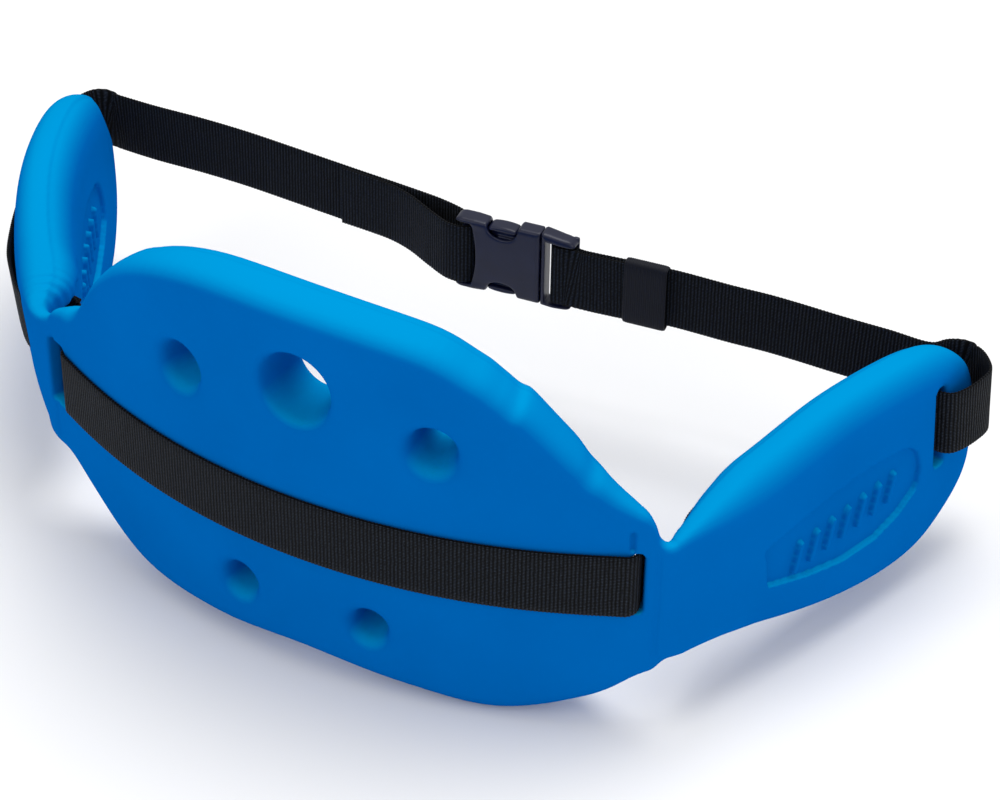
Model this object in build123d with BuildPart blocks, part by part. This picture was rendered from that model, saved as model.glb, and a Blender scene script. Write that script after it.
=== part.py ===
from build123d import *
import math
import os

os.makedirs("parts", exist_ok=True)

# Foam flotation belt, worn round the waist. Millimetres, +Z up, origin at the middle of the
# waist loop at the height of the webbing, front of the centre panel towards -Y.

# Webbing
webbing_width = 38.0
webbing_thickness = 1.8
skin_gap = 0.35                     # webbing to foam
joint_gap = 0.5                     # between two stretches of the same webbing

# Foam moulding
foam_thickness = 34.0
fold_thickness = 9.0                # foam left at the two fold lines
front_depth = 150.0                 # waist centre to the front of the centre panel
face_radius = 348.0                 # outer face of the centre panel, in plan
panel_ends = {"left": 188.0, "right": 181.0}    # along the outer face, from the middle
taper_length = 36.0
hang_hole = (84.0, 20.0)            # height and radius
upper_holes = (72.0, 67.5, 13.5)    # distance along the face, height, radius
lower_holes = (38.0, -53.0, 10.0)
panel_slots = {"left": -181.0, "right": 172.5}  # along the outer face
panel_slot_width = 9.0
slot_height = 43.0

wing_length = 240.0
wing_root = 7.0                     # from the fold line to the wing's own root
folds = {
    # side: sign, fold line in plan, angle from the X axis, bow, lean outwards at the top
    "left": (-1, (-188.0, -96.0), 59.0, 18.6, 4.9),
    "right": (1, (183.0, -98.5), 71.2, 5.2, -4.4),
}
tip_slot = (194.0, -3.0, 9.0, 48.0)             # along the wing, height, width, length
root_slot = (35.0, 0.0, 9.0, 43.0)
recess_depth = 2.5

# Buckle, in its own frame: x along the strap, y away from the wearer, z up
buckle_centre = (-12.5, 106.0)
buckle_turn = 6.5                   # degrees from the X axis, in plan
buckle_height = 43.0
buckle_thickness = 11.0
female_rear = -36.0
window_rear = -17.5
window_front = 0.8
female_mouth = 14.3
male_rear = 34.0
release_gap = 0.3


# ---------------------------------------------------------------- places

arc_centre_y = face_radius - front_depth


def on_face(distance, depth=0.0):
    """Plan point at a distance along the centre panel's outer face, at a depth into the foam."""
    angle = distance / face_radius
    radius = face_radius - depth
    return (radius * math.sin(angle), arc_centre_y - radius * math.cos(angle))


def face_plane(distance, height):
    """Upright plane tangent to the outer face, facing outwards."""
    angle = distance / face_radius
    x, y = on_face(distance)
    return Plane(
        origin=(x, y, height),
        x_dir=(math.cos(angle), math.sin(angle), 0),
        z_dir=(math.sin(angle), -math.cos(angle), 0),
    )


def wing_axes(side):
    """Unit vectors of a wing: along it, outwards and up."""
    sign, _, turn, _, lean = folds[side]
    along = Vector(sign * math.cos(math.radians(turn)), math.sin(math.radians(turn)), 0)
    flat_out = Vector(sign * math.sin(math.radians(turn)), -math.cos(math.radians(turn)), 0)
    tilt = math.radians(lean)
    up = Vector(0, 0, 1) * math.cos(tilt) + flat_out * math.sin(tilt)
    outwards = flat_out * math.cos(tilt) - Vector(0, 0, 1) * math.sin(tilt)
    return along, outwards, up


def wing_plan(side):
    """Plane across a wing: x along it, y outwards."""
    sign, fold, _, _, _ = folds[side]
    along, _, up = wing_axes(side)
    return Plane(origin=(*fold, 0), x_dir=along, z_dir=up * -sign)


def wing_front(side):
    """Plane of a wing's face: x along it, y up."""
    sign, fold, _, _, _ = folds[side]
    along, outwards, _ = wing_axes(side)
    return Plane(origin=(*fold, 0), x_dir=along, z_dir=outwards * sign)


def skin(side, distance):
    """How far a wing's outer face stands out from its chord."""
    share = distance / wing_length
    return 4 * folds[side][3] * share * (1 - share)


def on_wing(side, distance, outwards):
    """Plan point of a place on a wing, for pieces that meet it from the loop."""
    sign, fold, _, _, _ = folds[side]
    along, _, _ = wing_axes(side)
    flat_out = Vector(along.Y, -along.X, 0) * sign
    place = Vector(*fold, 0) + along * distance + flat_out * outwards
    return (place.X, place.Y)


buckle_along = Vector(math.cos(math.radians(buckle_turn)), math.sin(math.radians(buckle_turn)), 0)
buckle_plan = Plane(origin=(*buckle_centre, 0), x_dir=buckle_along, z_dir=(0, 0, 1))
buckle_face = Plane(
    origin=(*buckle_centre, 0), x_dir=buckle_along, z_dir=(buckle_along.Y, -buckle_along.X, 0)
)


# ---------------------------------------------------------------- foam

slot_radius = 3.0
left_end = -panel_ends["left"]
right_end = panel_ends["right"]
panel_top = [(-179, 35), (-160, 50), (-138, 84), (-108, 111), (-62, 128), (0, 131.5),
             (62, 126), (106, 105), (134, 77), (156, 51), (173, 35)]
panel_bottom = [(173, -60), (150, -78), (105, -93), (55, -89.5), (0, -84.5),
                (-55, -88), (-105, -87.5), (-152, -71), (-179, -55)]

with BuildPart() as centre_panel:
    with BuildSketch():
        with BuildLine():
            ThreePointArc(on_face(left_end), on_face(0), on_face(right_end))
            Line(on_face(right_end), on_face(right_end, fold_thickness))
            Line(on_face(right_end, fold_thickness), on_face(right_end - taper_length, foam_thickness))
            ThreePointArc(
                on_face(right_end - taper_length, foam_thickness),
                on_face(0, foam_thickness),
                on_face(left_end + taper_length, foam_thickness),
            )
            Line(on_face(left_end + taper_length, foam_thickness), on_face(left_end, fold_thickness))
            Line(on_face(left_end, fold_thickness), on_face(left_end))
        make_face()
    extrude(amount=200, both=True)
    with BuildSketch(Plane.XZ):
        with BuildLine():
            top = Spline(panel_top)
            Line(top @ 1, panel_bottom[0])
            bottom = Spline(panel_bottom)
            Line(bottom @ 1, top @ 0)
        make_face()
    extrude(amount=200, both=True, mode=Mode.INTERSECT)
    with BuildSketch(face_plane(0, hang_hole[0])):
        Circle(hang_hole[1])
    extrude(amount=foam_thickness * 2, both=True, mode=Mode.SUBTRACT)
    for place, height, radius in (upper_holes, lower_holes):
        for side in (-1, 1):
            with BuildSketch(face_plane(side * place, height)):
                Circle(radius)
            extrude(amount=foam_thickness * 2, both=True, mode=Mode.SUBTRACT)
    for place in panel_slots.values():
        with BuildSketch(face_plane(place, 0)):
            RectangleRounded(panel_slot_width, slot_height, slot_radius)
        extrude(amount=foam_thickness, both=True, mode=Mode.SUBTRACT)
centre_panel.part.label = "centre_panel"
export_step(centre_panel.part, "parts/centre_panel.step")

wing_outline = [(wing_root, 38), (34, 32), (72, 39), (120, 48), (163, 48), (197, 43), (222, 29),
                (wing_length, 3), (227, -39), (198, -66), (163, -76), (120, -74), (72, -63),
                (30, -50), (wing_root, -42)]
wing_drop = {"left": 0.0, "right": 3.0}         # how much lower the outline sits
nose_start = 190.0
nose_places = (203.0, 216.0, 227.0, 235.0)
nose_power = 1.8                    # 2 is an ellipse in plan
recess_top = [(69, -12), (158, 4)]
recess_tip = (178, -20)
recess_bottom = [(160, -50), (71, -37)]


def half_nose(distance):
    """Half the thickness of a wing's nose."""
    share = (distance - nose_start) / (wing_length - nose_start)
    return foam_thickness / 2 * math.sqrt(1 - share ** nose_power)


def wing_profile(side):
    """Cross-section of a wing in plan, from its thin root to its round nose."""
    middle = wing_length / 2
    inner_start = 60.0
    outer_root = (wing_root, skin(side, wing_root))
    outer_end = (nose_start, skin(side, nose_start))
    inner_end = (nose_start, skin(side, nose_start) - foam_thickness)
    inner_root = (inner_start, skin(side, inner_start) - foam_thickness)
    root_back = (wing_root, skin(side, wing_root) - fold_thickness)
    ThreePointArc(outer_root, (middle, skin(side, middle)), outer_end)
    outer_nose = [(x, skin(side, x) - foam_thickness / 2 + half_nose(x)) for x in nose_places]
    inner_nose = [(x, skin(side, x) - foam_thickness / 2 - half_nose(x)) for x in nose_places[::-1]]
    Spline(outer_end, *outer_nose, (wing_length, -foam_thickness / 2), *inner_nose, inner_end)
    ThreePointArc(inner_end, (middle, skin(side, middle) - foam_thickness), inner_root)
    Line(inner_root, root_back)
    Line(root_back, outer_root)


def recess_profile(side):
    """Band of foam that the shallow recess takes off: the right wing's outer face, the left's inner."""
    level = -recess_depth if side == "right" else -foam_thickness
    start, middle, end = 60.0, 120.0, 186.0
    corners = [(place, skin(side, place) + level) for place in (start, middle, end)]
    deeper = recess_depth + 6 if side == "right" else -6
    floor = recess_depth if side == "left" else 0
    far = [(x, y + deeper) for x, y in corners]
    near = [(x, y + floor) for x, y in corners]
    ThreePointArc(*near)
    Line(near[2], far[2])
    ThreePointArc(*far[::-1])
    Line(far[0], near[0])


def make_recess(side):
    with BuildPart() as recess:
        with BuildSketch(wing_plan(side)):
            with BuildLine():
                recess_profile(side)
            make_face()
        extrude(amount=200, both=True)
        with BuildSketch(wing_front(side)):
            with BuildLine():
                Line(recess_top)
                ThreePointArc(recess_top[1], recess_tip, recess_bottom[0])
                Line(recess_bottom)
                Line(recess_bottom[1], recess_top[0])
            make_face()
        extrude(amount=100, both=True, mode=Mode.INTERSECT)
    return recess


def make_wing(side):
    recess = make_recess(side)
    slot = tip_slot if side == "right" else root_slot
    with BuildPart() as wing:
        with BuildSketch(wing_plan(side)):
            with BuildLine():
                wing_profile(side)
            make_face()
        extrude(amount=200, both=True)
        with BuildSketch(wing_front(side)):
            with BuildLine():
                edge = Spline([(place, height - wing_drop[side]) for place, height in wing_outline])
                Line(edge @ 1, edge @ 0)
            make_face()
        extrude(amount=100, both=True, mode=Mode.INTERSECT)
        add(recess.part, mode=Mode.SUBTRACT)
        with BuildSketch(wing_front(side)):
            with Locations((slot[0], slot[1])):
                RectangleRounded(slot[2], slot[3], slot_radius)
        extrude(amount=100, both=True, mode=Mode.SUBTRACT)
    return wing


web_gap = 0.3
web_top = 36.0
web_bottom = -43.0


def make_fold_web(side):
    """Thin foam between the centre panel and a wing: the moulded hinge."""
    sign, fold, _, _, _ = folds[side]
    panel_end = sign * (panel_ends[side] + web_gap)
    root = wing_root - web_gap
    with BuildPart() as web:
        with BuildSketch(Plane.XY.offset(web_bottom)):
            with BuildLine():
                Polyline(
                    on_face(panel_end),
                    fold,
                    on_wing(side, root, skin(side, root)),
                    on_wing(side, root, skin(side, root) - fold_thickness),
                    on_face(panel_end, fold_thickness),
                    close=True,
                )
            make_face()
        extrude(amount=web_top - web_bottom)
    return web


left_wing = make_wing("left")
left_wing.part.label = "left_wing"
export_step(left_wing.part, "parts/left_wing.step")

right_wing = make_wing("right")
right_wing.part.label = "right_wing"
export_step(right_wing.part, "parts/right_wing.step")

left_fold_web = make_fold_web("left")
left_fold_web.part.label = "left_fold_web"
export_step(left_fold_web.part, "parts/left_fold_web.step")

right_fold_web = make_fold_web("right")
right_fold_web.part.label = "right_fold_web"
export_step(right_fold_web.part, "parts/right_fold_web.step")


# ---------------------------------------------------------------- webbing

def make_webbing(plane, points):
    """A flat stretch of webbing that stands on edge along a smooth line in plan."""
    middle = Spline(points, mode=Mode.PRIVATE)
    count = 6 * len(points)
    places = [middle @ (index / count) for index in range(count + 1)]
    sideways = [
        (middle % (index / count)).cross(Vector(0, 0, 1)) * (webbing_thickness / 2)
        for index in range(count + 1)
    ]
    with BuildPart() as stretch:
        with BuildSketch(plane):
            with BuildLine():
                near = Spline([place + step for place, step in zip(places, sideways)])
                far = Spline([place - step for place, step in zip(places, sideways)])
                Line(near @ 0, far @ 0)
                Line(near @ 1, far @ 1)
            make_face()
        extrude(amount=webbing_width / 2, both=True)
    return stretch


lift = skin_gap + webbing_thickness / 2         # webbing's middle, off the foam

# Over the front of the centre panel, and down into its two slots
left_slot = panel_slots["left"]
right_slot = panel_slots["right"]
left_dive = [(9, -lift - 0.2), (5.8, -lift - 0.3), (3, -0.8), (1.6, 2.4), (0.8, 8)]     # from the slot, depth
right_dive = [(9.5, -lift - 0.3), (5.5, -lift - 0.5), (2.1, -0.35), (-0.7, 2.8), (-2.4, 8)]
front_points = [on_face(left_slot + step, depth) for step, depth in left_dive[::-1]]
front_points += [on_face(25 * step, -lift) for step in range(-6, 7)]
front_points += [on_face(right_slot - step, depth) for step, depth in right_dive]
front_webbing = make_webbing(Plane.XY, front_points)
front_webbing.part.label = "front_webbing"
export_step(front_webbing.part, "parts/front_webbing.step")

# From the centre panel's slots to the wings, behind the folds
left_crossing = make_webbing(Plane.XY, [
    on_face(left_slot + 0.6, 9.2),
    on_face(left_slot - 2.5, 15),
    on_wing("left", 2, -16),
    on_wing("left", 17, -14),
    on_wing("left", 28.4, -17.6),
    on_wing("left", 33.2, -14.6),
    on_wing("left", 34.8, -8),
])
left_crossing.part.label = "left_crossing_webbing"
export_step(left_crossing.part, "parts/left_crossing_webbing.step")

right_crossing = make_webbing(Plane.XY, [
    on_face(right_slot + 2.6, 8.8),
    on_face(right_slot + 3.4, 14),
    on_wing("right", 3, -13.5),
    on_wing("right", 16, -17.5),
    on_wing("right", 36, -27),
    on_wing("right", 58, -foam_thickness + skin("right", 58) - lift - 0.6),
])
right_crossing.part.label = "right_crossing_webbing"
export_step(right_crossing.part, "parts/right_crossing_webbing.step")

# Along the wings and round their noses
left_run = make_webbing(wing_plan("left"), [
    (34.8, -4),
    (36.6, skin("left", 36) - 0.4),
    (40.6, skin("left", 40) + 2.0),
    (56, skin("left", 56) + 3.6),
    (76, skin("left", 76) + 4.2),
    (104, skin("left", 104) + 2.6),
    (134, skin("left", 134) + lift + 0.2),
    (162, skin("left", 162) + lift + 0.2),
    (190, skin("left", 190) + lift + 0.2),
])
left_run.part.label = "left_wing_webbing"
export_step(left_run.part, "parts/left_wing_webbing.step")

left_tip = make_webbing(wing_plan("left"), [
    (190.5, skin("left", 190.5) + lift + 0.2),
    (202, 10.9),
    (214, 7.0),
    (230, 0.2),
    (241.2, -11),
    (242, -19.5),
])
left_tip.part.label = "left_tip_webbing"
export_step(left_tip.part, "parts/left_tip_webbing.step")

right_run = make_webbing(wing_plan("right"), [
    (58.6, -foam_thickness + skin("right", 58.6) - lift - 0.6),
    (90, -foam_thickness + skin("right", 90) - lift),
    (130, -foam_thickness + skin("right", 130) - lift - 0.1),
    (163, -foam_thickness + skin("right", 163) - lift - 0.2),
    (176, -foam_thickness + skin("right", 176) - lift - 0.4),
    (184, -foam_thickness + skin("right", 184) - lift - 0.5),
    (190.4, -32.2),
    (192.8, -28),
    (193.6, -18),
    (193.8, -8),
])
right_run.part.label = "right_wing_webbing"
export_step(right_run.part, "parts/right_wing_webbing.step")

right_tip = make_webbing(wing_plan("right"), [
    (193.8, -7.4),
    (194.6, 1.4),
    (197.4, 5.9),
    (204, 7.9),
    (216, 8),
    (229, 4.6),
    (237.5, -4.5),
    (242, -14),
    (241.9, -21),
])
right_tip.part.label = "right_tip_webbing"
export_step(right_tip.part, "parts/right_tip_webbing.step")

# Across the back, from the wings to the buckle
left_back = make_webbing(Plane.XY, [
    on_wing("left", 242.0, -22.4),
    on_wing("left", 237, -27.5),
    (-262, 119.6),
    (-230, 120.6),
    (-200, 120.6),
    (-170, 119.6),
    (-145, 118.9),
    (-120, 118.1),
    (-92, 117),
])
left_back.part.label = "left_back_webbing"
export_step(left_back.part, "parts/left_back_webbing.step")

# The short end: through the female half's slot, round its bar and back, sewn to the strap
left_loop = make_webbing(Plane.XY, [
    (-91, 117),
    (-67, 115.5),
    (-52, 112.6),
    (-43.8, 108.4),
    (-40.6, 102.6),
    (-44.5, 97.6),
    (-52, 96.8),
    (-67, 102.6),
    (-84, 110.4),
    (-98, 114.3),
    (-114, 115.5),
    (-132, 115.9),
])
left_loop.part.label = "left_loop_webbing"
export_step(left_loop.part, "parts/left_loop_webbing.step")

right_layer = 1.35                  # middle of each of two layers, off the strap's own line
straight_end = 92.0

right_end_webbing = make_webbing(buckle_plan, [
    (straight_end, right_layer),
    (76, right_layer),
    (60, right_layer),
    (47, right_layer),
    (36, right_layer),
    (30, 2.0),
    (25.2, 2.9),
])
right_end_webbing.part.label = "right_end_webbing"
export_step(right_end_webbing.part, "parts/right_end_webbing.step")

tail_end = 83.0
tail_webbing = make_webbing(buckle_plan, [
    (24.7, 2.9),
    (21.2, 2.3),
    (19.9, 0),
    (21.2, -2.3),
    (25.2, -2.9),
    (30, -2.0),
    (36, -right_layer),
    (47, -right_layer),
    (60, -right_layer),
    (72, -right_layer),
    (tail_end, -right_layer),
])
tail_webbing.part.label = "tail_webbing"
export_step(tail_webbing.part, "parts/tail_webbing.step")

right_back_start = buckle_plan.from_local_coords((straight_end + joint_gap, right_layer))
right_back_inner = make_webbing(Plane.XY, [
    (right_back_start.X, right_back_start.Y),
    (112, 119.6),
    (132, 121.3),
    (149.5, 122.2),
])
right_back_inner.part.label = "right_back_webbing"
export_step(right_back_inner.part, "parts/right_back_webbing.step")

right_back_outer = make_webbing(Plane.XY, [
    (150, 122.2),
    (174, 123.2),
    (200, 125.3),
    on_wing("right", 226.6, -33.6),
    on_wing("right", 234.6, -30.2),
    on_wing("right", 240.4, -24.2),
])
right_back_outer.part.label = "right_back_end_webbing"
export_step(right_back_outer.part, "parts/right_back_end_webbing.step")

# Box of stitches that holds the short end to the strap
stitch_rows = (-14.5, 14.5)
stitch_columns = (-130.0, -102.0)
thread = 0.7
stitch_length = 2.6
stitch_pitch = 4.0


def make_bar_tack():
    length = stitch_columns[1] - stitch_columns[0]
    count = int(length / stitch_pitch) + 1
    with BuildPart() as tack:
        for row in stitch_rows:
            for index in range(count):
                x = stitch_columns[0] + index * stitch_pitch
                share = (x - stitch_columns[0]) / length
                y = 115.9 - 1.3 * share - webbing_thickness / 2 - thread / 2 - 0.3
                with Locations((x, y, row)):
                    Box(stitch_length, thread, thread)
    return tack


bar_tack = make_bar_tack()
bar_tack.part.label = "bar_tack_stitching"
export_step(bar_tack.part, "parts/bar_tack_stitching.step")


# ---------------------------------------------------------------- buckle

half_height = buckle_height / 2
half_thickness = buckle_thickness / 2
edge_round = 1.2
webbing_slot_half = 19.8
female_bar = (-34.6, -30.6)
female_slot_end = -25.6
cavity_half_height = 19.0
cavity_half_thickness = 3.2
cavity_end = -20.0
window_depth = 8.0


def runs_along_strap(edge):
    return abs(edge.tangent_at(0.5).dot(buckle_along)) > 0.7


with BuildPart() as buckle_female:
    with BuildSketch(buckle_face):
        with BuildLine():
            Polyline(
                (female_rear, -half_height - 0.5),
                (female_mouth, -half_height),
                (female_mouth, half_height),
                (female_rear, half_height + 0.5),
                close=True,
            )
        make_face()
    extrude(amount=half_thickness, both=True)
    fillet(buckle_female.edges().filter_by(runs_along_strap), edge_round)
    # windows that bare the two prongs
    for side in (-1, 1):
        with BuildSketch(buckle_face):
            with Locations(((window_rear + window_front) / 2, side * half_height)):
                RectangleRounded(window_front - window_rear, 2 * window_depth, 3)
        extrude(amount=half_thickness * 2, both=True, mode=Mode.SUBTRACT)
    # socket for the male half
    with BuildSketch(buckle_face):
        with Locations(((cavity_end + female_mouth) / 2, 0)):
            Rectangle(female_mouth - cavity_end, 2 * cavity_half_height)
    extrude(amount=cavity_half_thickness, both=True, mode=Mode.SUBTRACT)
    # webbing slot, and the open notch behind the bar
    with BuildSketch(buckle_face):
        with Locations(((female_rear + female_slot_end) / 2, 0)):
            Rectangle(female_slot_end - female_rear, 2 * webbing_slot_half)
    extrude(amount=half_thickness * 2, both=True, mode=Mode.SUBTRACT)
    with BuildSketch(buckle_face):
        with Locations(((female_bar[0] + female_bar[1]) / 2, 0)):
            Rectangle(female_bar[1] - female_bar[0], 2 * webbing_slot_half + 1)
    extrude(amount=1.7, both=True)
buckle_female.part.label = "buckle_female"
export_step(buckle_female.part, "parts/buckle_female.step")

male_front = female_mouth + release_gap
crossbar_back = 17.2
ladder_bar = (22.0, 25.4)
rear_bar = (31.0, male_rear)
rib_half_height = 3.0
rib_half_thickness = 2.6
rib_tip = -16.0
prong_root = 12.4
prong_height = 12.7
prong_half_arm = 1.7

with BuildPart() as buckle_male:
    with BuildSketch(buckle_face):
        with BuildLine():
            Polyline(
                (male_front, -half_height),
                (male_rear - 4, -half_height + 1),
                (male_rear, -half_height + 3),
                (male_rear, half_height - 3),
                (male_rear - 4, half_height - 1),
                (male_front, half_height),
                close=True,
            )
        make_face()
    extrude(amount=half_thickness, both=True)
    fillet(buckle_male.edges().filter_by(runs_along_strap), edge_round)
    with BuildSketch(buckle_face):
        with Locations(((crossbar_back + male_rear + 1) / 2, 0)):
            Rectangle(male_rear + 1 - crossbar_back, 2 * webbing_slot_half)
    extrude(amount=half_thickness * 2, both=True, mode=Mode.SUBTRACT)
    # bar that the webbing loops round, and the rear bar behind both layers
    with BuildSketch(buckle_face):
        with Locations(((ladder_bar[0] + ladder_bar[1]) / 2, 0)):
            Rectangle(ladder_bar[1] - ladder_bar[0], 2 * webbing_slot_half + 1)
    extrude(amount=1.5, both=True)
    with BuildSketch(buckle_face.offset(-half_thickness)):
        with Locations(((rear_bar[0] + rear_bar[1]) / 2, 0)):
            Rectangle(rear_bar[1] - rear_bar[0], 2 * webbing_slot_half + 1)
    extrude(amount=2.0)
    # guide rib between the prongs
    with BuildSketch(buckle_face):
        with Locations(((rib_tip + male_front + 1) / 2, 0)):
            RectangleRounded(male_front + 1 - rib_tip, 2 * rib_half_height, 1.2)
    extrude(amount=rib_half_thickness, both=True)
buckle_male.part.label = "buckle_male_frame"
export_step(buckle_male.part, "parts/buckle_male_frame.step")


def make_prong(side):
    """Sprung arm with its hooked head: side is 1 for the upper one, -1 for the lower."""
    head_rear = window_rear + 0.8
    head_front = window_front - 0.6
    head_top = half_height - 1.0
    arm_low = prong_height - prong_half_arm
    arm_high = prong_height + prong_half_arm
    with BuildPart() as prong:
        with BuildSketch(buckle_face):
            with BuildLine():
                Polyline(
                    (prong_root, side * arm_low),
                    (head_rear + 3, side * (arm_low - 0.6)),
                    (head_rear, side * (arm_low + 3)),
                    (head_rear, side * (cavity_half_height + 0.4)),
                    (head_rear + 1.4, side * head_top),
                    (head_front, side * head_top),
                    (head_front, side * (arm_high + 0.4)),
                    (prong_root, side * arm_high),
                    close=True,
                )
            make_face()
            with Locations((prong_root, side * prong_height)):
                Circle(prong_half_arm)
        extrude(amount=cavity_half_thickness - 0.3, both=True)
        # thumb pad, as thick as the buckle
        with BuildSketch(buckle_face):
            with BuildLine():
                Polyline(
                    (head_rear, side * (cavity_half_height + 0.4)),
                    (head_rear + 1.4, side * head_top),
                    (head_front, side * head_top),
                    (head_front, side * (cavity_half_height + 0.4)),
                    close=True,
                )
            make_face()
        extrude(amount=half_thickness - 0.6, both=True)
    return prong


upper_prong = make_prong(1)
upper_prong.part.label = "buckle_upper_prong"
export_step(upper_prong.part, "parts/buckle_upper_prong.step")

lower_prong = make_prong(-1)
lower_prong.part.label = "buckle_lower_prong"
export_step(lower_prong.part, "parts/buckle_lower_prong.step")

# Elastic sleeve that holds the loose tail to the strap
keeper_span = (63.0, 87.5)
keeper_inside = (2.7, webbing_width / 2 + 0.5)
keeper_wall = 1.2

with BuildPart() as keeper:
    with BuildSketch(Plane(
        origin=buckle_plan.from_local_coords((keeper_span[0], 0, 0)), x_dir=(0, 0, 1), z_dir=buckle_along
    )):
        RectangleRounded(2 * (keeper_inside[1] + keeper_wall), 2 * (keeper_inside[0] + keeper_wall), 2.2)
        RectangleRounded(2 * keeper_inside[1], 2 * keeper_inside[0], 1.2, mode=Mode.SUBTRACT)
    extrude(amount=keeper_span[1] - keeper_span[0])
keeper.part.label = "strap_keeper"
export_step(keeper.part, "parts/strap_keeper.step")
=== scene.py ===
"""Foam flotation belt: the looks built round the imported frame.

Lengths are in millimetres until a mesh is made.
"""

import math

import bmesh
import bpy
import numpy as np
import openvdb
from mathutils import Matrix, Vector


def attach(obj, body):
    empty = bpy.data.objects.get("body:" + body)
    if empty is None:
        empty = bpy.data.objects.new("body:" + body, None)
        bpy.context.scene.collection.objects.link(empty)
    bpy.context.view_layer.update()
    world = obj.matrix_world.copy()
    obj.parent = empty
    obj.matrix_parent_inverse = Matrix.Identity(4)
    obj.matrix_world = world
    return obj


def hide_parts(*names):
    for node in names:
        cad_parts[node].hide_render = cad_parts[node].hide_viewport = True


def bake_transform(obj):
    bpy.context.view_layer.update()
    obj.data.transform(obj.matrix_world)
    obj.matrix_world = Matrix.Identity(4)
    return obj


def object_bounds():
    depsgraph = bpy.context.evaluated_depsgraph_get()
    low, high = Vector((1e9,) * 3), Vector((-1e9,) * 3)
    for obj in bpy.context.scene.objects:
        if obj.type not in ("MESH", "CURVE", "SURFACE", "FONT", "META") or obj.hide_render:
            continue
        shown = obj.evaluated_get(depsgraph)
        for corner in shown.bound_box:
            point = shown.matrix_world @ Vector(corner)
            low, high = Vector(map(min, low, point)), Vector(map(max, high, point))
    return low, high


MM = 0.001
RIB_PITCH = 2.0                     # of the webbing
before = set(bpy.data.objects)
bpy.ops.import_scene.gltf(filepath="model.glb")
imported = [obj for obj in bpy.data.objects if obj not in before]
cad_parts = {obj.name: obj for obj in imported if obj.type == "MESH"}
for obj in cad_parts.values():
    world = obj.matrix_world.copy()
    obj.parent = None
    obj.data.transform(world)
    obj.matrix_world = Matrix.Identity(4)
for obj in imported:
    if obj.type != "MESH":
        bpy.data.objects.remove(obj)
cad_box = [list(corner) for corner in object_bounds()]
scene = bpy.context.scene


# ---------------------------------------------------------------- camera and light

def add_camera():
    data = bpy.data.cameras.new("camera")
    data.lens = 109.64
    data.sensor_width = 36
    camera = bpy.data.objects.new("camera", data)
    scene.collection.objects.link(camera)
    right, up, back = (0.8797, 0.4755, 0.0126), (-0.2972, 0.5288, 0.7950), (0.3713, -0.7031, 0.6065)
    camera.matrix_world = Matrix.Translation((0.6288, -1.1276, 0.9640)) @ Matrix(
        (right, up, back)
    ).transposed().to_4x4()
    scene.camera = camera


def add_area_light(name, place, target, size, power):
    data = bpy.data.lights.new(name, "AREA")
    data.shape = "DISK"
    data.size = size
    data.energy = power
    light = bpy.data.objects.new(name, data)
    scene.collection.objects.link(light)
    light.location = place
    aim = Vector(target) - Vector(place)
    light.rotation_euler = aim.to_track_quat("-Z", "Y").to_euler()


add_camera()
add_area_light("key", (0.1, 0.5, 2.2), (0, 0, 0), 1.6, 30)
add_area_light("front", (-0.9, -1.8, 1.1), (0, 0, 0), 1.4, 9)
add_area_light("side", (2.0, -0.4, 0.9), (0, 0, 0), 1.2, 6)
scene.world = bpy.data.worlds.new("studio")
scene.world.use_nodes = True
scene.world.node_tree.nodes["Background"].inputs["Color"].default_value = (1, 1, 1, 1)
scene.world.node_tree.nodes["Background"].inputs["Strength"].default_value = 0.62
scene.view_settings.view_transform = "Standard"


# ---------------------------------------------------------------- materials

class Nodes:
    """Short forms for the node calls that the materials repeat."""

    def __init__(self, name):
        self.material = bpy.data.materials.new(name)
        self.material.use_nodes = True
        self.tree = self.material.node_tree
        self.shader = self.tree.nodes["Principled BSDF"]

    def add(self, kind, inputs=None, **settings):
        node = self.tree.nodes.new(kind)
        for key, value in settings.items():
            setattr(node, key, value)
        for key, value in (inputs or {}).items():
            if isinstance(value, bpy.types.NodeSocket):
                self.tree.links.new(value, node.inputs[key])
            else:
                node.inputs[key].default_value = value
        return node

    def math(self, operation, first, second=0.0):
        return self.add("ShaderNodeMath", {0: first, 1: second}, operation=operation).outputs[0]

    def noise(self, vector, scale, detail=2.0, roughness=0.5):
        inputs = {"Vector": vector, "Scale": scale, "Detail": detail, "Roughness": roughness}
        return self.add("ShaderNodeTexNoise", inputs).outputs["Fac"]

    def ramp(self, fac, low, high, low_place=0.0, high_place=1.0):
        node = self.add("ShaderNodeValToRGB", {"Fac": fac})
        node.color_ramp.elements[0].position = low_place
        node.color_ramp.elements[1].position = high_place
        node.color_ramp.elements[0].color = (*low, 1)
        node.color_ramp.elements[1].color = (*high, 1)
        return node.outputs["Color"]

    def bump(self, height, strength, distance, normal=None):
        inputs = {"Height": height, "Strength": strength, "Distance": distance}
        if normal is not None:
            inputs["Normal"] = normal
        return self.add("ShaderNodeBump", inputs).outputs["Normal"]

    def link(self, output, name):
        self.tree.links.new(output, self.shader.inputs[name])

    def set(self, **values):
        for name, value in values.items():
            self.shader.inputs[name.replace("_", " ")].default_value = value


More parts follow.
